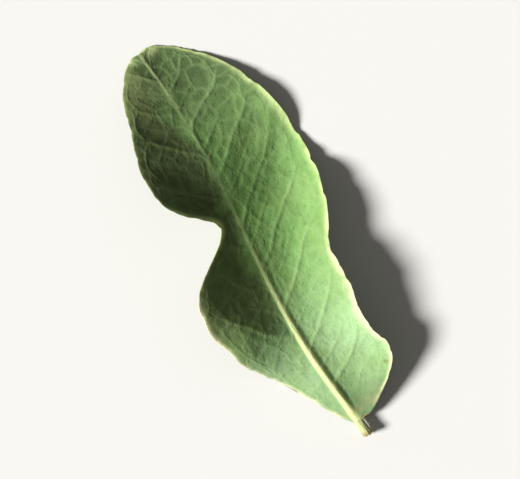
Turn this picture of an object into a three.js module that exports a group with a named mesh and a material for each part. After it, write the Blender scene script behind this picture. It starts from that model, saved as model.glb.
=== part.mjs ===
// A dried moringa leaflet: one thin, curled blade with a raised midrib, on a short stalk.
// Millimetres, +Z up. The midrib runs along +Y, from the stalk to the rounded tip, and the
// leaflet lies with its underside and the raised midrib facing up.
//
// A place on the blade is given by u, 0 where the blade starts and 1 at its tip, and by
// across, -1 on the left margin, 0 on the midrib and 1 on the right margin.
import * as THREE from 'three';

const { clamp, lerp, smoothstep, degToRad } = THREE.MathUtils;

// Driving dimensions
const bladeLength = 24; // along the midrib
const stalkLength = 1.0; // past the start of the blade
const stalkRadius = 0.24;
const rightWidth = 5.6; // midrib to margin, laid flat, where it is widest
const leftWidth = 4.4;
const bladeThickness = 0.15;
const restRoll = -4.4; // degrees about Y, how the curled blade settles on a flat surface

// The midrib: raised under the blade, thinner towards the tip, faint on the other face
const midribHeight = 0.17;
const midribReach = 0.3; // half its width
const midribTipHeight = 0.2; // shares of the two above that are left at the tip
const midribTipReach = 0.5;
const faintMidribHeight = 0.03;

// The midrib's course: it leans to the right, sways, arches a little, and dips at both ends
const midribLean = 0.44; // over the blade's length
const midribSway = 0.38;
const midribArch = 0.2;
const baseDip = { by: 0.76, end: 0.34 };
const tipDip = { by: 0.9, start: 0.7 };

// The blade's ends: it grows out of the stalk over a short length, and its tip is notched
const bladeStart = { thick: 0.06, wide: 0.1 }; // u where it is blade alone
const tipNotch = { depth: 0.25, reach: 0.45, start: 0.88 };
const stalkRoundness = 2; // power of the cross-section's outline: 2 is round, more is flat
const bladeRoundness = 14;

// Fineness
const bladeRings = 52;
const stalkRings = 3;
const pointsAcross = 28;
const walkSteps = 16;
const endBunching = 0.6; // how much closer together the rings are at both ends

// 1 at the centre, falling away smoothly on both sides
const bump = (x, centre, reach) => Math.exp(-(((x - centre) / reach) ** 2));
const swell = (u, { by, at, reach }) => by * bump(u, at, reach);
const turn = (u, { from, to, start, end }) => lerp(from, to, smoothstep(u, start, end));

// Width of half a leaf as a share of its widest: a blunt power curve at each end
function leafOutline(u, basePower, tipPower) {
  const widest = basePower / (basePower + tipPower);
  const along = clamp(u, 0, 1);
  return (along / widest) ** basePower * ((1 - along) / (1 - widest)) ** tipPower;
}

// Each half has its own width, and angles in degrees that say how steeply it rises away from
// the midrib: beside the midrib, added half way out, and at the margin
const rightHalf = {
  side: 1,
  width: (u) => rightWidth * leafOutline(u, 0.71, 0.59)
    + swell(u, { by: 1.7, at: 0.09, reach: 0.08 }) // a full, rounded shoulder at the base
    + swell(u, { by: -0.8, at: 0.38, reach: 0.08 }), // drawn in above it
  // falls away from the midrib, then turns up again: steeply near the base, barely at the tip
  atMidrib: (u) => turn(u, { from: -20, to: -28, start: 0.2, end: 0.48 }),
  halfWay: (u) => swell(u, { by: -21, at: 0.54, reach: 0.17 }),
  atMargin: (u) => turn(u, { from: 50, to: 10, start: 0.49, end: 0.66 })
    + turn(u, { from: 0, to: -14, start: 0.78, end: 1 }),
};
const leftHalf = {
  side: -1,
  width: (u) => leftWidth * leafOutline(u, 0.84, 0.63)
    + swell(u, { by: 0.8, at: 0.4, reach: 0.17 }) // a broad lobe below the waist
    + swell(u, { by: -3.4, at: 0.54, reach: 0.07 }), // a deep waist in the margin
  // folded down at the base with its margin curled under, then turned up on edge
  atMidrib: (u) => turn(u, { from: -27, to: 23, start: 0.12, end: 0.32 }),
  halfWay: (u) => swell(u, { by: 20, at: 0.32, reach: 0.15 }),
  atMargin: (u) => turn(u, { from: 0, to: 40, start: 0.29, end: 0.47 })
    + swell(u, { by: -22, at: 0.18, reach: 0.08 })
    + swell(u, { by: 22, at: 0.6, reach: 0.1 })
    + turn(u, { from: 0, to: -32, start: 0.83, end: 1 }),
};
const halfOn = (across) => (across < 0 ? leftHalf : rightHalf);

// The angle at s, 0 beside the midrib and 1 at the margin
function riseAngle(half, u, s) {
  const arc = 4 * s * (1 - s); // 1 half way out, 0 at both ends
  return degToRad(lerp(half.atMidrib(u), half.atMargin(u), s) + half.halfWay(u) * arc);
}

function midribPoint(u) {
  const x = midribLean * u - midribSway * Math.sin(2 * Math.PI * u);
  const z = midribArch * Math.sin(Math.PI * u)
    - baseDip.by * (1 - smoothstep(u, 0, baseDip.end))
    - tipDip.by * smoothstep(u, tipDip.start, 1);
  return new THREE.Vector3(x, bladeLength * (u - 0.5), z);
}

function halfWidth(half, u) {
  if (u < 0) return stalkRadius;
  return half.width(u) + stalkRadius * (1 - smoothstep(u, 0, bladeStart.wide));
}

// Walks out from the midrib, turning as the blade turns
function middlePoint(u, across) {
  const half = halfOn(across);
  const distance = Math.abs(across) * halfWidth(half, u);
  const step = distance / walkSteps;
  const point = midribPoint(u);
  for (let i = 0; i < walkSteps; i++) {
    const angle = u < 0 ? 0 : riseAngle(half, u, (Math.abs(across) * (i + 0.5)) / walkSteps);
    point.x += half.side * step * Math.cos(angle);
    point.z += step * Math.sin(angle);
  }
  point.y -= tipNotch.depth * smoothstep(u, tipNotch.start, 1) * bump(distance, 0, tipNotch.reach);
  return point;
}

function upwardNormal(u, across) {
  const nudge = 1e-3;
  const ahead = middlePoint(Math.min(u + nudge, 1), across);
  const behind = middlePoint(u - nudge, across);
  const right = middlePoint(u, across + nudge);
  const left = middlePoint(u, across - nudge);
  return right.sub(left).cross(ahead.sub(behind)).normalize();
}

// Distance from the middle of the blade to its face that looks up (1) or down (-1)
function faceOffset(u, across, face) {
  const onBlade = smoothstep(u, 0, bladeStart.thick);
  const roundness = lerp(stalkRoundness, bladeRoundness, onBlade);
  const edge = Math.sqrt(Math.max(1 - Math.abs(across) ** roundness, 0));
  const along = clamp(u, 0, 1);
  const fromMidrib = Math.abs(across) * halfWidth(halfOn(across), u);
  const height = face > 0 ? midribHeight * lerp(1, midribTipHeight, along) : faintMidribHeight;
  const rib = height * bump(fromMidrib, 0, midribReach * lerp(1, midribTipReach, along));
  return lerp(stalkRadius, bladeThickness / 2 + rib, onBlade) * edge;
}

// 0 to 1, with half a cosine's closer spacing at both ends
const bunched = (share) => 0.5 - 0.5 * Math.cos(Math.PI * share);

// One closed ring of points around the blade: over the face that looks up, then back under it
function ringPoints(u) {
  const points = [];
  for (let i = 0; i < 2 * pointsAcross; i++) {
    const face = i <= pointsAcross ? 1 : -1;
    const even = face * ((2 * i) / pointsAcross - (face > 0 ? 1 : 3));
    const across = Math.sign(even) * bunched(even); // finer at the midrib and the margins
    const offset = faceOffset(u, across, face) * face;
    points.push(middlePoint(u, across).addScaledVector(upwardNormal(u, across), offset));
  }
  return points;
}

function leafGeometry() {
  const rings = [];
  for (let i = 0; i < stalkRings; i++) {
    rings.push(ringPoints((-stalkLength / bladeLength) * (1 - i / stalkRings)));
  }
  for (let i = 0; i < bladeRings; i++) {
    const even = (i + 0.5) / bladeRings;
    rings.push(ringPoints(lerp(even, bunched(even), endBunching)));
  }
  const count = 2 * pointsAcross;
  const vertices = rings.flat();
  const triangles = [];
  for (let r = 0; r + 1 < rings.length; r++) {
    for (let i = 0; i < count; i++) {
      const a = r * count + i;
      const b = r * count + ((i + 1) % count);
      triangles.push(a, b, b + count, a, b + count, a + count);
    }
  }
  const stalkEnd = vertices.push(middlePoint(-stalkLength / bladeLength, 0)) - 1;
  const tip = vertices.push(middlePoint(1, 0)) - 1;
  const lastRing = (rings.length - 1) * count;
  for (let i = 0; i < count; i++) {
    const next = (i + 1) % count;
    triangles.push(stalkEnd, next, i, tip, lastRing + i, lastRing + next);
  }
  const geometry = new THREE.BufferGeometry().setFromPoints(vertices);
  geometry.setIndex(triangles);
  geometry.computeVertexNormals();
  return geometry;
}

const driedLeafGreen = new THREE.MeshStandardMaterial({ color: 0x7f9a66, roughness: 0.62, metalness: 0 });
const leaf = new THREE.Mesh(leafGeometry(), driedLeafGreen);
leaf.name = 'leaf';
leaf.rotation.y = degToRad(restRoll);

// The origin is under the middle of the leaf, on the surface it lies on
const box = new THREE.Box3().setFromObject(leaf, true);
const centre = box.getCenter(new THREE.Vector3());
leaf.position.set(-centre.x, -centre.y, -box.min.z);

const model = new THREE.Group();
model.add(leaf);
export default model;
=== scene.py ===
"""Looks of a dried moringa leaflet lying with its underside up.

The blade is one fine closed shell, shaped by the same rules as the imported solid. Geometry Nodes
raise its veins and wrinkles, and procedural materials colour its two faces and its stalk.
Lengths are in millimetres until a mesh is made; the scene is in metres.
"""

import math

import bpy
import numpy as np
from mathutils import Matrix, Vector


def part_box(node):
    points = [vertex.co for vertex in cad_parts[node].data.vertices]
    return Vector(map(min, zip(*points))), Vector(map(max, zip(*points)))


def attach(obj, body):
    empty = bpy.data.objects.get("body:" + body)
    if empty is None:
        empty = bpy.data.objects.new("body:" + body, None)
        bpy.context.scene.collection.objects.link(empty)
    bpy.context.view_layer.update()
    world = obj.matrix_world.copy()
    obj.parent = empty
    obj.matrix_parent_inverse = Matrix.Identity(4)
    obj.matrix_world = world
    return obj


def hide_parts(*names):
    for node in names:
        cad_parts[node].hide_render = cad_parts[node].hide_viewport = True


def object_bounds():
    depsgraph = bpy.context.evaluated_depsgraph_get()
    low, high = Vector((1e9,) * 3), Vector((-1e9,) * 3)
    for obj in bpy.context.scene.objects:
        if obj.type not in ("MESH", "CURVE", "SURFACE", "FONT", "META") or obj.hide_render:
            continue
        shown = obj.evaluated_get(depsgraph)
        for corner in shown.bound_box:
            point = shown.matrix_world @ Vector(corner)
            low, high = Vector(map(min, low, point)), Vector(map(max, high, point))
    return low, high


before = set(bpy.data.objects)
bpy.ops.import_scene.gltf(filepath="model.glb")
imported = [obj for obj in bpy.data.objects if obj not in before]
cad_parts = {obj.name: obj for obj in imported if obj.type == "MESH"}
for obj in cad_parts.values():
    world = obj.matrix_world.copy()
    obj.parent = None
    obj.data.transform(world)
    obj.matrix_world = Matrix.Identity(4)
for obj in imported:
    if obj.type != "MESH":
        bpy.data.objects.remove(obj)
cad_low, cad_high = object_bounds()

MM = 0.001  # metres

# The leaflet's driving sizes
BLADE_LENGTH = 24.0
STALK_LENGTH = 1.0
STALK_RADIUS = 0.24
RIGHT_WIDTH = 5.6
LEFT_WIDTH = 4.4
BLADE_THICKNESS = 0.11
REST_ROLL = -4.4  # degrees about Y
STALK_END = -STALK_LENGTH / BLADE_LENGTH  # its u

# The midrib: raised on the underside, lower and narrower towards the tip, faint on the other face
MIDRIB_HEIGHT = 0.12
MIDRIB_REACH = 0.21  # half its width
MIDRIB_TIP_HEIGHT = 0.15  # shares of the two above that are left at the tip
MIDRIB_TIP_REACH = 0.5
FAINT_MIDRIB_HEIGHT = 0.03

# The midrib's course: it leans to the right, sways, arches a little, and dips at both ends
MIDRIB_LEAN = 0.44
MIDRIB_SWAY = 0.38
MIDRIB_ARCH = 0.2
BASE_DIP = 0.76
BASE_DIP_END = 0.34  # u, like the starts and ends below
TIP_DIP = 0.9
TIP_DIP_START = 0.7

# The blade's two ends: it grows out of the stalk over a short length, and its tip is notched
BLADE_FULLY_THIN = 0.06
BLADE_FULLY_WIDE = 0.1
STALK_ROUNDNESS = 2  # power of the cross-section's outline: 2 is round, more is flat
BLADE_ROUNDNESS = 14
TIP_NOTCH = 0.25
TIP_NOTCH_REACH = 0.45
TIP_NOTCH_START = 0.88

# Fineness of the visible shell
BLADE_RINGS = 310
STALK_RINGS = 12
POINTS_ACROSS = 148
WALK_STEPS = 16
RING_BUNCHING = 0.3  # how much closer together the rings are at both ends of the blade
POINT_BUNCHING = 0.45  # and the points of a ring at the midrib and the margins
NUDGE = 1e-3  # step in u and across that finds a direction on the blade


# ---------------------------------------------------------------- shape of the blade

# A place on the blade is given by u, 0 where the blade starts and 1 at its tip, and by across,
# -1 on the left margin, 0 on the midrib and 1 on the right margin.


def bump(x, centre, reach):
    """1 at the centre, falling away smoothly on both sides."""
    return np.exp(-(((x - centre) / reach) ** 2))


def ramp(x, start, end):
    """0 up to start, 1 from end on, smooth between."""
    t = np.clip((x - start) / (end - start), 0, 1)
    return t * t * (3 - 2 * t)


def lerp(a, b, t):
    return a + (b - a) * t


def swell(u, by, at, reach):
    return by * bump(u, at, reach)


def turn(u, before, after, start, end):
    return lerp(before, after, ramp(u, start, end))


def leaf_outline(u, base_power, tip_power):
    """Width of half a leaf as a share of its widest."""
    widest = base_power / (base_power + tip_power)
    along = np.clip(u, 0, 1)
    return (along / widest) ** base_power * ((1 - along) / (1 - widest)) ** tip_power


def right_width(u):
    shoulder = swell(u, by=1.7, at=0.09, reach=0.08)
    drawn_in = swell(u, by=-0.8, at=0.38, reach=0.08)
    return RIGHT_WIDTH * leaf_outline(u, base_power=0.71, tip_power=0.59) + shoulder + drawn_in


def left_width(u):
    lobe = swell(u, by=0.8, at=0.4, reach=0.17)
    waist = swell(u, by=-3.4, at=0.54, reach=0.07)
    return LEFT_WIDTH * leaf_outline(u, base_power=0.84, tip_power=0.63) + lobe + waist


def half_width(u, across):
    width = np.where(across < 0, left_width(u), right_width(u))
    joined = width + STALK_RADIUS * (1 - ramp(u, 0, BLADE_FULLY_WIDE))
    return np.where(u < 0, STALK_RADIUS, joined)


def bent(at_midrib, half_way, at_margin, s):
    """The angle at s, 0 beside the midrib and 1 at the margin; half_way is added between them."""
    return lerp(at_midrib, at_margin, s) + half_way * 4 * s * (1 - s)


def right_rise(u, s):
    """How steeply the right half rises away from the midrib, in degrees."""
    at_midrib = turn(u, -20, -28, start=0.2, end=0.48)
    half_way = swell(u, by=-21, at=0.54, reach=0.17)
    at_margin = turn(u, 50, 10, start=0.49, end=0.66) + turn(u, 0, -14, start=0.78, end=1)
    return bent(at_midrib, half_way, at_margin, s)


def left_rise(u, s):
    """The same for the left half: its base is folded down, the rest is turned up on edge."""
    at_midrib = turn(u, -27, 23, start=0.12, end=0.32)
    half_way = swell(u, by=20, at=0.32, reach=0.15)
    at_margin = turn(u, 0, 40, start=0.29, end=0.47) + turn(u, 0, -32, start=0.83, end=1)
    at_margin += swell(u, by=-22, at=0.18, reach=0.08) + swell(u, by=22, at=0.6, reach=0.1)
    return bent(at_midrib, half_way, at_margin, s)


def rise_angle(u, across, s):
    degrees = np.where(across < 0, left_rise(u, s), right_rise(u, s))
    return np.radians(np.where(u < 0, 0, degrees))


def middle_point(u, across):
    """A point on the middle surface of the blade, walked out to from the midrib."""
    u, across = np.broadcast_arrays(u, across)
    side, reach = np.where(across < 0, -1.0, 1.0), np.abs(across)
    width = half_width(u, across)
    step = width * reach / WALK_STEPS
    x = MIDRIB_LEAN * u - MIDRIB_SWAY * np.sin(2 * np.pi * u)
    y = BLADE_LENGTH * (u - 0.5)
    z = MIDRIB_ARCH * np.sin(np.pi * u)
    z = z - BASE_DIP * (1 - ramp(u, 0, BASE_DIP_END)) - TIP_DIP * ramp(u, TIP_DIP_START, 1)
    for i in range(WALK_STEPS):
        angle = rise_angle(u, across, reach * (i + 0.5) / WALK_STEPS)
        x = x + side * step * np.cos(angle)
        z = z + step * np.sin(angle)
    y = y - TIP_NOTCH * ramp(u, TIP_NOTCH_START, 1) * bump(reach * width, 0, TIP_NOTCH_REACH)
    return np.stack([x, y, z], -1)


def unit(vectors):
    return vectors / np.linalg.norm(vectors, axis=-1, keepdims=True)


def directions(u, across):
    """Unit vectors out of the blade's upward face, and across the blade to its right."""
    rightward = middle_point(u, across + NUDGE) - middle_point(u, across - NUDGE)
    forward = middle_point(np.minimum(u + NUDGE, 1), across) - middle_point(u - NUDGE, across)
    return unit(np.cross(rightward, forward)), unit(rightward)


def face_offset(u, across, face):
    """Distance from the middle of the blade to its underside (face 1) or upper side (face -1)."""
    on_blade = ramp(u, 0, BLADE_FULLY_THIN)
    roundness = lerp(STALK_ROUNDNESS, BLADE_ROUNDNESS, on_blade)
    edge = np.sqrt(np.clip(1 - np.abs(across) ** roundness, 0, 1))
    along = np.clip(u, 0, 1)
    raised = MIDRIB_HEIGHT * turn(along, 1, MIDRIB_TIP_HEIGHT, start=0.05, end=0.6)
    height = np.where(face > 0, raised, FAINT_MIDRIB_HEIGHT)
    from_midrib = np.abs(across) * half_width(u, across)
    rib = height * bump(from_midrib, 0, MIDRIB_REACH * lerp(1, MIDRIB_TIP_REACH, along))
    return lerp(STALK_RADIUS, BLADE_THICKNESS / 2 + rib, on_blade) * edge


def bunched(share):
    """0 to 1, with half a cosine's closer spacing at both ends."""
    return 0.5 - 0.5 * np.cos(np.pi * share)


def shell_places():
    """u, across and face of every point: one closed ring after another, from stalk to tip, each
    over the underside (face 1) and back below the upper side (face -1)."""
    stalk = STALK_END * (1 - np.arange(STALK_RINGS) / STALK_RINGS)
    even_u = (np.arange(BLADE_RINGS) + 0.5) / BLADE_RINGS
    blade = lerp(even_u, bunched(even_u), RING_BUNCHING)
    u = np.concatenate([stalk, blade])[:, None]
    i = np.arange(2 * POINTS_ACROSS)[None, :]
    face = np.where(i <= POINTS_ACROSS, 1, -1)
    even = face * (2 * i / POINTS_ACROSS - np.where(face > 0, 1, 3))
    across = lerp(even, np.sign(even) * bunched(even), POINT_BUNCHING)
    return np.broadcast_arrays(u, across, face)


def shell_faces(rings, count):
    """Quads from ring to ring, and triangles that close the two ends on a point."""
    point = np.arange(count)[None, :]
    ring = np.arange(rings - 1)[:, None] * count
    here, beside = ring + point, ring + (point + 1) % count
    quads = np.stack([here, beside, beside + count, here + count], -1).reshape(-1, 4)
    end, tip, last = rings * count, rings * count + 1, (rings - 1) * count
    faces = quads.tolist()
    faces += [[end, (k + 1) % count, k] for k in range(count)]
    faces += [[tip, last + k, last + (k + 1) % count] for k in range(count)]
    return faces


def leaf_shell():
    """The closed shell's vertices in metres, its faces, and what its tree and materials read."""
    u, across, face = shell_places()
    up, rightward = directions(u, across)
    points = middle_point(u, across) + up * (face_offset(u, across, face) * face)[..., None]
    ends = middle_point(np.array([STALK_END, 1.0]), np.zeros(2))
    vertices = np.concatenate([points.reshape(-1, 3), ends])
    width = half_width(u, across)
    flat = np.stack([across * width, BLADE_LENGTH * u, 0 * u], -1)

    def with_ends(values, at_end, at_tip):
        return np.concatenate([values.reshape(u.size, -1), [at_end], [at_tip]])

    attributes = {
        "flat": with_ends(flat, [0, -STALK_LENGTH, 0], [0, BLADE_LENGTH, 0]),
        "up": with_ends(up, [0, 0, 1], up[-1, POINTS_ACROSS // 2]),
        "outward": with_ends(rightward * np.sign(across)[..., None], [0, 0, 0], [0, 0, 0]),
        "half_width": with_ends(width, [STALK_RADIUS], [0]),
        "face_up": with_ends(face.astype(float), [1], [1]),
    }
    return set_down(vertices), shell_faces(*u.shape), attributes


def set_down(vertices):
    """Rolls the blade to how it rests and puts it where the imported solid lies."""
    roll = math.radians(REST_ROLL)
    turned = vertices.copy()
    turned[:, 0] = math.cos(roll) * vertices[:, 0] + math.sin(roll) * vertices[:, 2]
    turned[:, 2] = math.cos(roll) * vertices[:, 2] - math.sin(roll) * vertices[:, 0]
    turned *= MM
    low, high = (np.array(corner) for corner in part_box("leaf"))
    place = (low + high) / 2 - (turned.min(0) + turned.max(0)) / 2
    place[2] = low[2] - turned[:, 2].min()
    return turned + place


def leaf_object():
    vertices, faces, attributes = leaf_shell()
    mesh = bpy.data.meshes.new("dried_leaflet")
    mesh.from_pydata(vertices.tolist(), [], faces)
    for name, values in attributes.items():
        kind, key = ("FLOAT_VECTOR", "vector") if values.shape[1] == 3 else ("FLOAT", "value")
        stored = mesh.attributes.new(name, kind, "POINT")
        stored.data.foreach_set(key, values.astype(np.float32).ravel())
    mesh.shade_smooth()
    leaf = bpy.data.objects.new("dried_leaflet", mesh)
    bpy.context.scene.collection.objects.link(leaf)
    return leaf


# ---------------------------------------------------------------- writing node trees


def join(tree, socket, value):
    """Links a field or an output into a socket, or sets the socket's own value."""
    if isinstance(value, Field):
        tree.links.new(value.socket, socket)
    elif isinstance(value, bpy.types.NodeSocket):
        tree.links.new(value, socket)
    else:
        socket.default_value = value


def add(tree, kind, inputs=None, **settings):
    """Adds a node, sets its settings, and joins its inputs by name."""
    node = tree.nodes.new(kind)
    for name, value in settings.items():
        setattr(node, name, value)
    for name, value in (inputs or {}).items():
        socket = next(s for s in node.inputs if s.name == name and s.enabled)
        join(tree, socket, value)
    return node


def calculated(tree, operation, *values):
    """A math node's result."""
    node = add(tree, "ShaderNodeMath", operation=operation)
    for socket, value in zip(node.inputs, values):
        join(tree, socket, value)
    return Field(tree, node.outputs[0])


class Field:
    """A number or vector that varies over the leaf: a node's output, with plain arithmetic."""

    def __init__(self, tree, socket):
        self.tree, self.socket = tree, socket

    def math(self, operation, *others):
        return calculated(self.tree, operation, self, *others)

    def __add__(self, other):
        return self.math("ADD", other)

    def __sub__(self, other):
        return self.math("SUBTRACT", other)

    def __rsub__(self, other):
        return calculated(self.tree, "SUBTRACT", other, self)

    def __mul__(self, other):
        return self.math("MULTIPLY", other)

    def __truediv__(self, other):
        return self.math("DIVIDE", other)

    def __rtruediv__(self, other):
        return calculated(self.tree, "DIVIDE", other, self)

    def __abs__(self):
        return self.math("ABSOLUTE")

    __radd__, __rmul__ = __add__, __mul__

    def clamped(self):
        """This number, but no less than 0 and no more than 1."""
        return self.math("MAXIMUM", 0.0).math("MINIMUM", 1.0)

    def ridge(self, reach):
        """1 where this distance is 0, falling away over reach, as exp(-(d / reach)^2)."""
        ratio = self / reach
        return (ratio * ratio * -1.0).math("EXPONENT")

    # bump, swell and ramp say what the blade's shape says with theirs

    def bump(self, centre, reach):
        return (self - centre).ridge(reach)

    def swell(self, by, at, reach):
        return self.bump(at, reach) * by

    def ramp(self, start, end, low=0.0, high=1.0):
        """low up to start, high from end on, smooth between."""
        inputs = {"Value": self, "From Min": start, "From Max": end, "To Min": low, "To Max": high}
        node = add(self.tree, "ShaderNodeMapRange", inputs, interpolation_type="SMOOTHSTEP")
        return Field(self.tree, node.outputs["Result"])

    def fade(self, start, end):
        """1 up to start, 0 from end on, smooth between."""
        return self.ramp(start, end, low=1.0, high=0.0)

    def parts(self):
        node = add(self.tree, "ShaderNodeSeparateXYZ", {"Vector": self})
        return [Field(self.tree, socket) for socket in node.outputs]

    def times(self, factor):
        """A vector or colour times a number."""
        node = add(self.tree, "ShaderNodeVectorMath", operation="SCALE")
        join(self.tree, node.inputs[0], self)
        join(self.tree, node.inputs["Scale"], factor)
        return Field(self.tree, node.outputs[0])

    def plus(self, other):
        """A vector plus a vector."""
        node = add(self.tree, "ShaderNodeVectorMath", operation="ADD")
        join(self.tree, node.inputs[0], self)
        join(self.tree, node.inputs[1], other)
        return Field(self.tree, node.outputs[0])


def combined(tree, x=0.0, y=0.0, z=0.0):
    """A vector from three numbers or fields."""
    node = add(tree, "ShaderNodeCombineXYZ", {"X": x, "Y": y, "Z": z})
    return Field(tree, node.outputs[0])


def noise(place, size, detail=2.0, roughness=0.5):
    """Smooth noise whose blobs are about size across, 0 to 1 around 0.5."""
    inputs = {"Vector": place, "Scale": 1.0 / size, "Detail": detail, "Roughness": roughness}
    node = add(place.tree, "ShaderNodeTexNoise", inputs)
    return Field(place.tree, node.outputs["Fac"])


def noise_vector(place, size):
    """Noise in all three directions, each about -0.5 to 0.5."""
    inputs = {"Vector": place, "Scale": 1.0 / size, "Detail": 1.0}
    node = add(place.tree, "ShaderNodeTexNoise", inputs)
    return Field(place.tree, node.outputs["Color"]).plus((-0.5, -0.5, -0.5))


def cells(place, size, feature):
    """The distance that a Voronoi feature measures, for cells about size across."""
    inputs = {"Vector": place, "Scale": 1.0 / size}
    node = add(place.tree, "ShaderNodeTexVoronoi", inputs, feature=feature)
    return Field(place.tree, node.outputs["Distance"]) * size


def new_tree(name, kind, sockets):
    """A node tree whose interface has these (name, direction, type, default) sockets."""
    tree = bpy.data.node_groups.new(name, kind)
    for label, direction, socket_type, default in sockets:
        socket = tree.interface.new_socket(label, in_out=direction, socket_type=socket_type)
        if default is not None:
            socket.default_value = default
    return tree


def inputs_of(tree):
    """The tree's inputs as fields, by name."""
    node = add(tree, "NodeGroupInput")
    return {socket.name: Field(tree, socket) for socket in node.outputs if socket.name}


# ---------------------------------------------------------------- veins and wrinkles

VEIN_SIZES = {
    "Midrib Half Width": 0.24,
    "Groove Depth": 0.012,
    "Side Vein Spacing": 2.7,
    "Side Vein Lean": 0.6,  # forwards for each millimetre outwards
    "Side Vein Curve": 0.06,  # and how quickly that grows
    "Side Vein Height": 0.048,
    "Side Vein Half Width": 0.13,
    "Loop Inset": 0.3,  # share of the half width
    "Net Cell Size": 0.95,
    "Net Height": 0.014,
    "Quilt Height": 0.02,
    "Pleat Height": 0.07,
    "Cockle Size": 4.2,
    "Cockle Height": 0.5,
    "Crumple Size": 0.8,
    "Crumple Height": 0.1,
    "Margin Wear": 0.2,
    "Stalk Wrinkle": 0.14,
    "Stalk Swelling": 0.04,
    "Break Depth": 0.3,
    "Metres per Millimetre": MM,
}
PATTERN_SEED = 4.0

# Stretches of the blade, in millimetres from the stalk, over which something starts or ends
VEINS_START = (0.4, 2.5)
GROOVE_STARTS = (0.3, 1.5)
GROOVE_GROWS_FAINT = (BLADE_LENGTH * 0.3, BLADE_LENGTH * 0.7)
LOOPS_END = (BLADE_LENGTH * 0.93, BLADE_LENGTH * 0.99)
WRINKLES_START = (0.0, 2.0)
STALK_SKIN_ENDS = (-0.3, 0.2)
BREAK_ENDS = (-STALK_LENGTH, -STALK_LENGTH * 0.85)
BROWN_ENDS = (-STALK_LENGTH * 0.95, -STALK_LENGTH * 0.5)

# How the side veins vary
VEIN_WANDER = 1.7  # how far their starts stray, over patches of the size below
VEIN_WANDER_SIZE = 3.4
VEIN_STAGGER = 0.2  # of their spacing, one way on the left half and the other on the right
FAINTEST_VEIN = 0.6
VEIN_NARROWING = 0.45  # share of its width that a vein loses on its way to the margin
THIN_VEIN = 0.45  # strength of the thin veins between them
THIN_VEIN_WIDTH = 0.6  # of a side vein's, like the loops' width
LOOP_STRENGTH = 0.5
LOOP_WIDTH = 0.8
LOOP_BOW = 0.17  # how far each loop bows out, as a share of the half width
NET_VEIN_HALF_WIDTH = 0.085
SHAKE = 0.35  # how far the net and the crumples stray from an even pattern
SHAKE_SIZE = 0.9

# The groove beside the midrib
GROOVE_DISTANCE = 1.5  # from the midrib's middle, in midrib half widths
GROOVE_HALF_WIDTH = 0.09
GROOVE_FILLED = 0.4  # where a side vein crosses it
FAINT_GROOVE = 0.25

# Wrinkles of the blade and the stalk
PLEATS_ACROSS = 2.6  # for each side vein
PLEATS_ALONG = 0.35  # for each millimetre out from the midrib
HALVES_APART = 9.0  # gives the two halves different pleats
COCKLE_BESIDE_MIDRIB = 0.15  # share of the cockles' height there
STRAND_WIDTH = 0.13
STRAND_STRETCH = 0.2  # how slowly the strands change along the stalk, against across it
SWELLING_PLACE = -STALK_LENGTH * 0.8
SWELLING_REACH = 0.35
SPLINTER_SIZE = 0.16

# The margin: how large its ragged places are and how far in they reach, and its pale rim's reach
WEAR_SIZE = 1.4
WEAR_REACH = 0.5
RIM_REACH = 0.16


def attribute(tree, name, kind="FLOAT"):
    node = add(tree, "GeometryNodeInputNamedAttribute", {"Name": name}, data_type=kind)
    return Field(tree, node.outputs["Attribute"])


class LeafPlace:
    """Where a point is on the leaf laid flat, in millimetres, as fields of one tree."""

    def __init__(self, tree, seed):
        flat = attribute(tree, "flat", "FLOAT_VECTOR")
        signed_x, self.along, _ = flat.parts()
        self.tree = tree
        self.width, self.face_up = attribute(tree, "half_width"), attribute(tree, "face_up")
        self.side = signed_x.math("SIGN")
        self.from_midrib = abs(signed_x)
        self.from_margin = self.width - self.from_midrib
        self.outward = (self.from_midrib / self.width).clamped()  # 1 at the margin
        self.pattern = flat.plus(combined(tree, z=seed))
        self.shaken = self.pattern.plus(noise_vector(self.pattern, SHAKE_SIZE).times(SHAKE))


def side_veins(at, given):
    """The side veins with the loops that join them, and a phase that is whole on each vein."""
    spacing, lean, curve = (given["Side Vein " + name] for name in ("Spacing", "Lean", "Curve"))
    wander = (noise(at.pattern, VEIN_WANDER_SIZE, detail=1.0) - 0.5) * VEIN_WANDER
    start = at.along + wander - lean * at.from_midrib - curve * at.from_midrib * at.from_midrib
    phase = start / spacing + at.side * VEIN_STAGGER
    slope = lean + curve * at.from_midrib * 2.0
    square_on = (slope * slope + 1.0).math("INVERSE_SQRT")
    number = phase.math("ROUND")
    from_vein = abs(phase - number) * spacing * square_on
    between = phase + 0.5
    from_between = abs(between - between.math("ROUND")) * spacing * square_on

    tag = combined(at.tree, number, at.side, given["Seed"])
    white = add(at.tree, "ShaderNodeTexWhiteNoise", {"Vector": tag}, noise_dimensions="3D")
    strength = Field(at.tree, white.outputs["Value"]) * (1.0 - FAINTEST_VEIN) + FAINTEST_VEIN
    reach = given["Side Vein Half Width"] * (1.0 - at.outward * VEIN_NARROWING)
    side_vein = from_vein.ridge(reach) * strength * at.outward.fade(0.7, 0.9)
    thin_vein = from_between.ridge(reach * THIN_VEIN_WIDTH)
    thin_vein = thin_vein * at.outward.ramp(0.35, 0.7, low=THIN_VEIN, high=0.0)

    # The side veins join in a row of loops along the margin, as far as the notch
    arch = abs((phase * math.pi).math("SINE"))
    inset = at.width * (given["Loop Inset"] - arch * LOOP_BOW)
    loop = at.from_margin.swell(by=LOOP_STRENGTH, at=inset, reach=reach * LOOP_WIDTH)
    loop = loop * at.width.ramp(1.0, 2.5) * at.along.fade(*LOOPS_END)
    veins = side_vein.math("MAXIMUM", thin_vein).math("MAXIMUM", loop)
    return veins * at.along.ramp(*VEINS_START), phase


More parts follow.
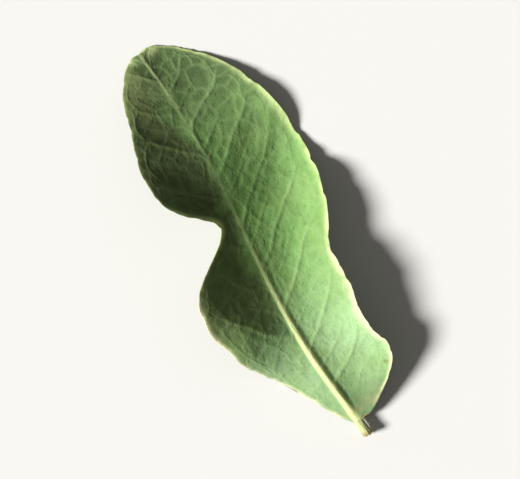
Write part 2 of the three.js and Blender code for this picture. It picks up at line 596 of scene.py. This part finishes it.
def vein_net(at, given):
    """The net of fine veins that fills the blade between the side veins."""
    edges = cells(at.shaken, given["Net Cell Size"], "DISTANCE_TO_EDGE")
    net = edges.ridge(NET_VEIN_HALF_WIDTH)
    return net * at.from_margin.ramp(0.1, 0.5) * at.along.ramp(*VEINS_START)


def midrib_and_groove(at, given, veins):
    """The midrib, and the groove beside it, deeper on the right and towards the stalk."""
    half_width = given["Midrib Half Width"]
    narrowing = at.along.ramp(0.0, BLADE_LENGTH, low=1.0, high=MIDRIB_TIP_REACH)
    midrib = at.from_midrib.ridge(half_width * narrowing)
    groove = at.from_midrib.bump(half_width * GROOVE_DISTANCE, GROOVE_HALF_WIDTH)
    groove = groove * (1.0 - veins * GROOVE_FILLED) * at.along.ramp(*GROOVE_STARTS)
    groove = groove * at.along.ramp(*GROOVE_GROWS_FAINT, low=1.0, high=FAINT_GROOVE)
    return midrib, groove * at.side.ramp(-1.0, 1.0, low=FAINT_GROOVE, high=1.0)


def wrinkles(at, given, phase):
    """How the dry blade puckers and pleats between its veins, cockles and crumples."""
    quilt = (phase * math.tau).math("COSINE") * (at.outward * math.pi).math("SINE")
    streaks = phase * PLEATS_ACROSS, at.from_midrib * PLEATS_ALONG, at.side * HALVES_APART
    pleat = noise(combined(at.tree, *streaks), 1.0) - 0.5
    growth = at.outward * at.outward * (1.0 - COCKLE_BESIDE_MIDRIB) + COCKLE_BESIDE_MIDRIB
    cockle = (noise(at.pattern, given["Cockle Size"], detail=1.0) - 0.5) * growth
    crumple = noise(at.shaken, given["Crumple Size"], detail=3.0) - 0.5
    sheet = quilt * given["Quilt Height"] + pleat * given["Pleat Height"]
    return sheet + cockle * given["Cockle Height"] + crumple * given["Crumple Height"]


def stalk_offsets(at, given, scale):
    """Moves that wrinkle the stalk lengthwise, swell it near its end, and break it off roughly."""
    spot = Field(at.tree, add(at.tree, "GeometryNodeInputPosition").outputs[0])
    x, y, z = spot.parts()
    strands = combined(at.tree, x, y * STRAND_STRETCH, z)
    wrinkle = (noise(strands, scale * STRAND_WIDTH) - 0.5) * given["Stalk Wrinkle"]
    swollen = at.along.swell(given["Stalk Swelling"], SWELLING_PLACE, SWELLING_REACH)
    broken = at.along.fade(*BREAK_ENDS)
    splinter = (noise(spot, scale * SPLINTER_SIZE) - 0.5) * given["Break Depth"] * broken
    outside = Field(at.tree, add(at.tree, "GeometryNodeInputNormal").outputs[0])
    raised = (wrinkle + swollen * (1.0 - broken)) * at.along.fade(*STALK_SKIN_ENDS)
    return outside.times(raised * scale), combined(at.tree, y=splinter * scale)


def margin_offset(at, given, scale):
    """Moves in from the margin, which is thin and a little ragged."""
    torn = noise(at.pattern, WEAR_SIZE, detail=3.0, roughness=0.6).ramp(0.42, 0.75)
    ragged = torn * at.from_margin.ridge(WEAR_REACH) * at.along.ramp(0.5, 2.0)
    inward = ragged * given["Margin Wear"] * scale * -1.0
    return attribute(at.tree, "outward", "FLOAT_VECTOR").times(inward)


def pale_rim_and_highlight(at):
    """The pale margin, partly its own dry pale edge and partly painted highlight: broad where the
    right one turns up above the shoulder to the light, narrower beside the tip and at the waist,
    where a painted lit edge shows, faint on the raised left margin, which is in shade, with two
    spots beside the notch."""
    on_right = at.side.ramp(0.0, 1.0)
    on_left = 1.0 - on_right
    shoulder = at.along.swell(by=0.3, at=6.4, reach=3.4)
    beside_tip = at.along.swell(by=0.2, at=16.0, reach=4.5)
    waist = at.along.swell(by=0.2, at=14.0, reach=1.3)
    reach = (shoulder + beside_tip) * on_right + waist * on_left + RIM_REACH
    faint = on_left * at.along.ramp(14.5, 16.5) * 0.6
    rim = at.from_margin.ridge(reach) * at.along.ramp(0.0, 1.0) * (1.0 - faint)
    spots = at.along.bump(BLADE_LENGTH - 0.3, reach=0.32) * at.from_midrib.bump(0.7, reach=0.36)
    return rim.math("MAXIMUM", spots)


def with_marks(tree, geometry, marks):
    """Stores each mark on the points, where the materials read it."""
    for name, value in marks.items():
        inputs = {"Geometry": geometry, "Name": name, "Value": value}
        node = add(tree, "GeometryNodeStoreNamedAttribute", inputs, data_type="FLOAT")
        geometry = node.outputs[0]
    return geometry


def painted(tree, geometry, finishes):
    """Gives the faces their materials: each (material, where), one over the other."""
    for material, where in finishes:
        inputs = {"Geometry": geometry, "Selection": where, "Material": material}
        geometry = add(tree, "GeometryNodeSetMaterial", inputs).outputs[0]
    return geometry


def vein_tree():
    """Raises the veins and wrinkles of a leaf shell, and marks them for its materials."""
    sockets = [("Geometry", "INPUT", "NodeSocketGeometry", None)]
    sockets += [(name, "INPUT", "NodeSocketFloat", size) for name, size in VEIN_SIZES.items()]
    sockets += [("Seed", "INPUT", "NodeSocketFloat", PATTERN_SEED)]
    finishes = ("Underside", "Upper Side", "Stalk")
    sockets += [(name, "INPUT", "NodeSocketMaterial", None) for name in finishes]
    sockets += [("Geometry", "OUTPUT", "NodeSocketGeometry", None)]
    tree = new_tree("leaf_veins", "GeometryNodeTree", sockets)
    given = inputs_of(tree)
    scale = given["Metres per Millimetre"]
    at = LeafPlace(tree, given["Seed"])

    veins, phase = side_veins(at, given)
    net = vein_net(at, given)
    midrib, groove = midrib_and_groove(at, given, veins)
    off_midrib = 1.0 - midrib
    relief = (veins * given["Side Vein Height"] + net * given["Net Height"]) * off_midrib
    relief = relief - groove * given["Groove Depth"]
    both_faces = wrinkles(at, given, phase) * off_midrib * at.along.ramp(*WRINKLES_START)
    share = at.face_up.ramp(-1.0, 1.0, low=0.5, high=1.0)  # the upper side shows half the relief
    lift = attribute(tree, "up", "FLOAT_VECTOR").times((relief * share + both_faces) * scale)
    skin, splinters = stalk_offsets(at, given, scale)
    offset = lift.plus(margin_offset(at, given, scale)).plus(skin).plus(splinters)
    moved = {"Geometry": given["Geometry"], "Offset": offset}
    made = add(tree, "GeometryNodeSetPosition", moved).outputs[0]

    # Where it touches the surface it lies flat on it
    x, y, z = Field(tree, add(tree, "GeometryNodeInputPosition").outputs[0]).parts()
    settled = combined(tree, x, y, z.math("MAXIMUM", 0.0))
    laid = {"Geometry": made, "Position": settled}
    made = add(tree, "GeometryNodeSetPosition", laid).outputs[0]

    made = with_marks(tree, made, {
        "vein": veins * off_midrib,
        "midrib": midrib,
        "groove": groove,
        "net": net,
        "break": at.along.fade(*BROWN_ENDS),
        # the pale rim, with painted highlight along the lit margins
        "rim": pale_rim_and_highlight(at),
    })
    made = add(tree, "GeometryNodeRealizeInstances", {"Geometry": made}).outputs[0]
    made = painted(tree, made, (
        (given["Underside"], True),
        (given["Upper Side"], at.face_up.math("LESS_THAN", 0.0)),
        (given["Stalk"], at.along.math("LESS_THAN", 0.0)),
    ))
    add(tree, "NodeGroupOutput", {"Geometry": made})
    return tree


def with_veins(leaf, materials):
    """Runs the vein tree on the leaf and keeps the result as its plain mesh."""
    tree = vein_tree()
    modifier = leaf.modifiers.new("veins", "NODES")
    modifier.node_group = tree
    identifiers = {s.name: s.identifier for s in tree.interface.items_tree if s.in_out == "INPUT"}
    for name, value in {**VEIN_SIZES, "Seed": PATTERN_SEED, **materials}.items():
        modifier[identifiers[name]] = value
    graph = bpy.context.evaluated_depsgraph_get()
    made = bpy.data.meshes.new_from_object(
        leaf.evaluated_get(graph), preserve_all_data_layers=True, depsgraph=graph
    )
    leaf.modifiers.clear()
    plain, leaf.data = leaf.data, made
    bpy.data.meshes.remove(plain)
    made.name = "dried_leaflet"
    return leaf


# ---------------------------------------------------------------- materials


def mixed(first, second, amount):
    """The first colour where amount is 0, the second where it is 1."""
    inputs = {"Factor": amount, "A": first, "B": second}
    node = add(first.tree, "ShaderNodeMix", inputs, data_type="RGBA")
    return Field(first.tree, next(s for s in node.outputs if s.enabled))


SURFACE_COLOURS = (
    "Blade Colour",
    "Base Colour",
    # the next two colours are painted shade, at the tip and on the left half
    "Shaded Tip Colour",
    "Shaded Half Colour",
    "Patch Colour",
    "Vein Colour",
    "Midrib Colour",
    "Rim Colour",
    "Tip Rim Colour",
    "Speck Colour",
    "Break Colour",
)
SURFACE_AMOUNTS = {
    # strength of the painted shade on the left half
    "Shaded Half Amount": 0.8,
    "Patch Size": 3.0,
    "Patch Amount": 0.6,
    "Vein Amount": 0.5,
    "Net Amount": 0.25,
    "Groove Shade": 0.12,
    "Rim Amount": 0.7,
    "Grain Size": 0.16,
    "Grain Amount": 0.2,
    "Speck Amount": 0.4,
    "Break Amount": 0.7,
    "Dryness": 0.7,
    "Layer": 0.0,  # tells the patterns of the faces apart
}

# Stretches of the blade, in millimetres from the stalk, over which its colour changes
DARKER_BESIDE_STALK = (0.5, 3.0)
BASE_GREYER = (0.5, 3.5)
BLADE_GREENER = (3.5, 10.5)
# Painted shade at the tip
TIP_SHADE_ENDS = (16.0, 22.5)
# Painted shade on the left half: where it starts, deepens and lifts
LEFT_SHADE_STARTS = (5.0, 9.0)
SHADE_DEEPENS = (11.0, 15.0)
SHADE_LIFTS = (18.0, 21.5)
RIM_GREENER = (9.0, 12.0)
MIDRIB_BLENDS_IN = (6.0, 13.0)
MIDRIB_SHOWS_AGAIN = (18.5, 22.0)

# The painted shade on the left half ends beside the midrib, and the painted shade at the tip
# slants; both stray over the patches
SHADED_HALF_ENDS = (-1.3, 0.2)  # millimetres right of the midrib
TIP_SLANT = 0.5
STRAY = 1.2

# Sizes of the finer marks
GRANULE_SIZE = 3.5  # in grains, like the pits' size
PIT_SIZE = 1.3
RIM_UNEVEN_SIZE = 1.1
FIBRES_ACROSS = 14.0  # for each millimetre
FIBRES_ALONG = 0.9
SPECK_CELLS_PER_MM = 0.55
CELLS_WITHOUT_SPECK = 0.75  # share of them
LARGEST_SPECK = 0.12  # of a speck cell


def blade_colour(given, signed_x, along, patch):
    """The blade between its veins, and where it is painted in shade: paler near the stalk, painted
    light on the right half above the base, painted shade at the tip and olive on the left half,
    and patchy from uneven drying."""
    greener = along.ramp(*BLADE_GREENER) + along.ramp(*BASE_GREYER, low=0.35, high=0.0)
    colour = mixed(given["Base Colour"], given["Blade Colour"], greener)
    # Painted light on the right half above the base, and that half darker right beside the stalk
    painted_light_on_right = along.swell(by=0.3, at=4.4, reach=2.2) - along.fade(*DARKER_BESIDE_STALK) * 0.45
    colour = colour.times(1.0 + painted_light_on_right * signed_x.ramp(0.0, 0.7))
    colour = mixed(colour, given["Patch Colour"], patch * given["Patch Amount"])
    uneven = (patch - 0.5) * STRAY
    # Painted shade at the tip, deeper on the right half, which turns further from the light
    tip_shade = (along + signed_x * TIP_SLANT + uneven).ramp(*TIP_SHADE_ENDS)
    colour = mixed(colour, given["Shaded Tip Colour"], tip_shade)
    # Olive painted shade on the left half, which is turned up away from the light
    shaded_half = (signed_x + uneven).fade(*SHADED_HALF_ENDS) * along.ramp(*LEFT_SHADE_STARTS)
    colour = mixed(colour, given["Shaded Half Colour"], shaded_half * given["Shaded Half Amount"])
    # The painted shade deepens past the waist and turns slightly lighter near the tip
    darker = shaded_half * along.ramp(*SHADE_DEEPENS) * along.ramp(*SHADE_LIFTS, low=0.35, high=-0.2)
    return colour.times(1.0 - darker), shaded_half


def specks(place, grain, granule):
    """A few small specks, each in a cell of its own."""
    inputs = {"Vector": place, "Scale": SPECK_CELLS_PER_MM}
    node = add(place.tree, "ShaderNodeTexVoronoi", inputs, feature="F1")
    chance = Field(place.tree, node.outputs["Color"]).parts()[0]
    ragged = (granule - 0.5) * 0.12 + (grain - 0.5) * 0.16
    distance = Field(place.tree, node.outputs["Distance"]) + ragged
    size = chance.ramp(CELLS_WITHOUT_SPECK, 1.0, low=0.0, high=LARGEST_SPECK)
    return (size - distance).ramp(0.0, 0.05)


def dried_surface_group():
    """Colour, roughness and height of dried leaf, from the marks that the vein tree left."""
    sockets = [(name, "INPUT", "NodeSocketColor", None) for name in SURFACE_COLOURS]
    sockets += [(name, "INPUT", "NodeSocketFloat", size) for name, size in SURFACE_AMOUNTS.items()]
    sockets += [
        ("Colour", "OUTPUT", "NodeSocketColor", None),
        ("Roughness", "OUTPUT", "NodeSocketFloat", None),
        ("Height", "OUTPUT", "NodeSocketFloat", None),
    ]
    tree = new_tree("dried_leaf_surface", "ShaderNodeTree", sockets)
    given = inputs_of(tree)

    def mark(name, output="Fac"):
        node = add(tree, "ShaderNodeAttribute", attribute_type="GEOMETRY", attribute_name=name)
        return Field(tree, node.outputs[output])

    flat = mark("flat", "Vector")
    place = flat.plus(combined(tree, z=given["Layer"]))
    signed_x, along, _ = flat.parts()
    patch = noise(place, given["Patch Size"], detail=4.0, roughness=0.55).ramp(0.38, 0.66)
    colour, shaded_half = blade_colour(given, signed_x, along, patch)

    # A fine grain with pits, and coarser granules
    grain_size = given["Grain Size"]
    grain = noise(place, grain_size, detail=3.0, roughness=0.7)
    granule = noise(place, grain_size * GRANULE_SIZE)
    between_pits = cells(place, grain_size * PIT_SIZE, "F1").ramp(0.02, 0.09)
    shade = (grain - 0.5) * 2.0 + (granule - 0.5) * 1.6 - (1.0 - between_pits) * 0.5
    colour = colour.times(1.0 + shade * given["Grain Amount"])

    # Veins fade on the half painted in shade; the midrib is pale at the base and shows again at
    # the tip
    clear = 1.0 - shaded_half * 0.5
    net = mark("net") * clear * given["Net Amount"]
    vein = mark("vein") * clear * given["Vein Amount"]
    colour = mixed(colour, given["Vein Colour"], net.math("MAXIMUM", vein))
    shown = along.ramp(*MIDRIB_BLENDS_IN, low=1.0, high=0.1)
    shown = shown + along.ramp(*MIDRIB_SHOWS_AGAIN, low=0.0, high=0.26)
    midrib = mark("midrib").ramp(0.25, 0.8) * shown
    colour = mixed(colour, given["Midrib Colour"], midrib)
    colour = colour.times(1.0 - mark("groove") * given["Groove Shade"])
    # The pale rim: partly the margin's own pale dry edge, partly painted highlight where it
    # catches the light
    rim_unevenness = noise(place, RIM_UNEVEN_SIZE).ramp(0.3, 0.6, low=0.35, high=1.0)
    rim = mark("rim") * rim_unevenness * given["Rim Amount"]
    rim_colour = mixed(given["Rim Colour"], given["Tip Rim Colour"], along.ramp(*RIM_GREENER))
    colour = mixed(colour, rim_colour, rim.clamped())

    # Brown at the broken end of the stalk, and tan where the blade meets it
    joint = along.ramp(0.1, 0.5) * along.fade(0.5, 1.4) * (granule - 0.2)
    brown = mark("break").math("MAXIMUM", joint.clamped() * 0.9)
    colour = mixed(colour, given["Break Colour"], brown * given["Break Amount"])
    speck = specks(place, grain, granule) * given["Speck Amount"]
    colour = mixed(colour, given["Speck Colour"], speck)

    # Fibres run along the midrib
    fibres = combined(tree, signed_x * FIBRES_ACROSS, along * FIBRES_ALONG, given["Layer"])
    fibre = noise(fibres, 1.0)
    colour = colour.times(1.0 + (fibre - 0.5) * 0.5 * midrib)
    roughness = given["Dryness"] + (grain - 0.5) * 0.25 - midrib * 0.08 + speck * 0.1
    height = grain * 0.6 + between_pits * 0.5 + net * 0.5 + fibre * midrib * 1.5
    made = {"Colour": colour, "Roughness": roughness.clamped(), "Height": height}
    add(tree, "NodeGroupOutput", made)
    return tree


GRAIN_DEPTH = 0.02 * MM
TRANSLUCENCE = 0.06  # share of the light that passes through the blade
LEAF_GLOW = (0.30, 0.45, 0.10)
STALK_GLOW = (0.35, 0.40, 0.12)
STRAW = (0.43, 0.45, 0.22)


def leaf_material(name, surface, colours, amounts, glow):
    """A dry leaf finish; glow is the colour that shines through the blade from behind."""
    material = bpy.data.materials.new(name)
    material.use_nodes = True
    tree = material.node_tree
    tree.nodes.clear()
    finish = add(tree, "ShaderNodeGroup", node_tree=surface)
    for label, value in colours.items():
        finish.inputs[label].default_value = (*value, 1)
    for label, value in amounts.items():
        finish.inputs[label].default_value = value
    bump_inputs = {"Height": finish.outputs["Height"], "Distance": GRAIN_DEPTH, "Strength": 1.0}
    relief = add(tree, "ShaderNodeBump", bump_inputs)
    body = add(tree, "ShaderNodeBsdfPrincipled", {
        "Base Color": finish.outputs["Colour"],
        "Roughness": finish.outputs["Roughness"],
        "Normal": relief.outputs[0],
        "Specular IOR Level": 0.16,
        "Sheen Weight": 0.02,
        "Sheen Roughness": 0.5,
    })
    through = add(tree, "ShaderNodeBsdfTranslucent", {"Color": (*glow, 1)})
    both = add(tree, "ShaderNodeMixShader")
    both.inputs[0].default_value = TRANSLUCENCE
    tree.links.new(body.outputs[0], both.inputs[1])
    tree.links.new(through.outputs[0], both.inputs[2])
    output = add(tree, "ShaderNodeOutputMaterial")
    tree.links.new(both.outputs[0], output.inputs[0])
    return material


def underside(surface):
    """Pale green where the blade leaves the stalk, with painted shade, deep at the tip and olive
    on the left.
    """
    colours = {
        "Blade Colour": (0.137, 0.275, 0.077),
        "Base Colour": (0.188, 0.296, 0.148),
        # Painted shade: at the tip, and olive on the left half
        "Shaded Tip Colour": (0.070, 0.112, 0.040),
        "Shaded Half Colour": (0.088, 0.108, 0.042),
        "Patch Colour": (0.160, 0.265, 0.080),
        "Vein Colour": (0.240, 0.360, 0.150),
        "Midrib Colour": (0.500, 0.570, 0.260),
        # The pale rim, partly the dry margin's own colour and partly painted highlight
        "Rim Colour": (0.680, 0.640, 0.400),
        "Tip Rim Colour": (0.580, 0.700, 0.310),
        "Speck Colour": (0.090, 0.065, 0.025),
        "Break Colour": (0.300, 0.215, 0.090),
    }
    return leaf_material("leaf_underside", surface, colours, {"Vein Amount": 0.45}, LEAF_GLOW)


def upper_side(surface):
    """Darker and a little smoother than the underside."""
    colours = {
        "Blade Colour": (0.070, 0.145, 0.038),
        "Base Colour": (0.080, 0.155, 0.050),
        # Painted shade at the tip and on the left half, as on the underside
        "Shaded Tip Colour": (0.070, 0.115, 0.035),
        "Shaded Half Colour": (0.085, 0.105, 0.035),
        "Patch Colour": (0.105, 0.170, 0.050),
        "Vein Colour": (0.140, 0.210, 0.075),
        "Midrib Colour": (0.190, 0.240, 0.095),
        "Rim Colour": STRAW,
        "Tip Rim Colour": STRAW,
        "Speck Colour": (0.060, 0.045, 0.018),
        "Break Colour": (0.240, 0.170, 0.070),
    }
    amounts = {"Patch Amount": 0.8, "Layer": 9.0, "Dryness": 0.52}
    return leaf_material("leaf_upper_side", surface, colours, amounts, LEAF_GLOW)


def stalk_skin(surface):
    """Yellowish green straw, brown where it broke."""
    colours = {
        "Blade Colour": (0.360, 0.380, 0.170),
        "Base Colour": (0.360, 0.370, 0.170),
        "Shaded Tip Colour": (0.360, 0.380, 0.170),
        "Shaded Half Colour": (0.300, 0.260, 0.110),
        "Patch Colour": (0.300, 0.250, 0.110),
        "Vein Colour": (0.400, 0.440, 0.210),
        "Midrib Colour": (0.400, 0.430, 0.205),
        "Rim Colour": STRAW,
        "Tip Rim Colour": STRAW,
        "Speck Colour": (0.120, 0.070, 0.025),
        "Break Colour": (0.200, 0.125, 0.050),
    }
    amounts = {"Patch Size": 0.8, "Rim Amount": 0.0, "Layer": 5.0}
    return leaf_material("leaf_stalk", surface, colours, amounts, STALK_GLOW)


def leaf_materials():
    surface = dried_surface_group()
    return {
        "Underside": underside(surface),
        "Upper Side": upper_side(surface),
        "Stalk": stalk_skin(surface),
    }


# ---------------------------------------------------------------- floor, light and camera


FLOOR_HALF_WIDTH = 2.0  # metres


def plain_floor():
    """A pale matt surface under the leaf."""
    half = FLOOR_HALF_WIDTH
    mesh = bpy.data.meshes.new("floor")
    corners = [(-half, -half, 0), (half, -half, 0), (half, half, 0), (-half, half, 0)]
    mesh.from_pydata(corners, [], [(0, 1, 2, 3)])
    material = bpy.data.materials.new("pale_floor")
    material.use_nodes = True
    shader = material.node_tree.nodes["Principled BSDF"]
    shader.inputs["Base Color"].default_value = (0.55, 0.55, 0.54, 1)
    shader.inputs["Roughness"].default_value = 0.9
    mesh.materials.append(material)
    floor = bpy.data.objects.new("floor", mesh)
    bpy.context.scene.collection.objects.link(floor)


def soft_light(name, azimuth, elevation, strength, spread, colour):
    """Even light from a distant soft box that is spread degrees wide.

    Azimuth 0 is towards +X, turning towards +Y.
    """
    data = bpy.data.lights.new(name, "SUN")
    data.energy, data.color = strength, colour
    data.angle = math.radians(spread)
    light = bpy.data.objects.new(name, data)
    a, e = math.radians(azimuth), math.radians(elevation)
    light.location = (math.cos(a) * math.cos(e), math.sin(a) * math.cos(e), math.sin(e))
    light.rotation_euler = light.location.to_track_quat("Z", "Y").to_euler()
    bpy.context.scene.collection.objects.link(light)


def camera_above(centre, roll, lens, view_width):
    """A camera looking straight down, turned so that the tip points up and to the left."""
    data = bpy.data.cameras.new("camera")
    data.lens = lens
    distance = view_width * lens / data.sensor_width
    data.clip_start, data.clip_end = 0.1 * distance, 20 * distance
    camera = bpy.data.objects.new("camera", data)
    camera.location = (centre[0], centre[1], centre[2] + distance)
    camera.rotation_euler = (0, 0, math.radians(roll))
    bpy.context.scene.collection.objects.link(camera)
    bpy.context.scene.camera = camera


def soft_room(strength, colour):
    world = bpy.data.worlds.new("soft_room")
    world.use_nodes = True
    background = world.node_tree.nodes["Background"]
    background.inputs["Color"].default_value = (*colour, 1)
    background.inputs["Strength"].default_value = strength
    bpy.context.scene.world = world


CAMERA_ROLL = -32.0
LEFT_OF_VIEW = 180.0 + CAMERA_ROLL  # the azimuth that lies to the left in the camera's view

camera_above((cad_low + cad_high) / 2, CAMERA_ROLL, lens=120, view_width=28.5 * MM)
soft_light(
    "key",
    azimuth=LEFT_OF_VIEW + 18,
    elevation=34,
    strength=8.6,
    spread=16,
    colour=(1.0, 0.985, 0.95),
)
soft_light(
    "fill",
    azimuth=LEFT_OF_VIEW - 120,
    elevation=60,
    strength=0.12,
    spread=60,
    colour=(0.95, 0.98, 1.0),
)
soft_room(strength=0.14, colour=(1.0, 0.95, 0.86))
bpy.context.scene.view_settings.view_transform = "Standard"
plain_floor()

leaflet = with_veins(leaf_object(), leaf_materials())
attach(leaflet, "root")
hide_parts("leaf")
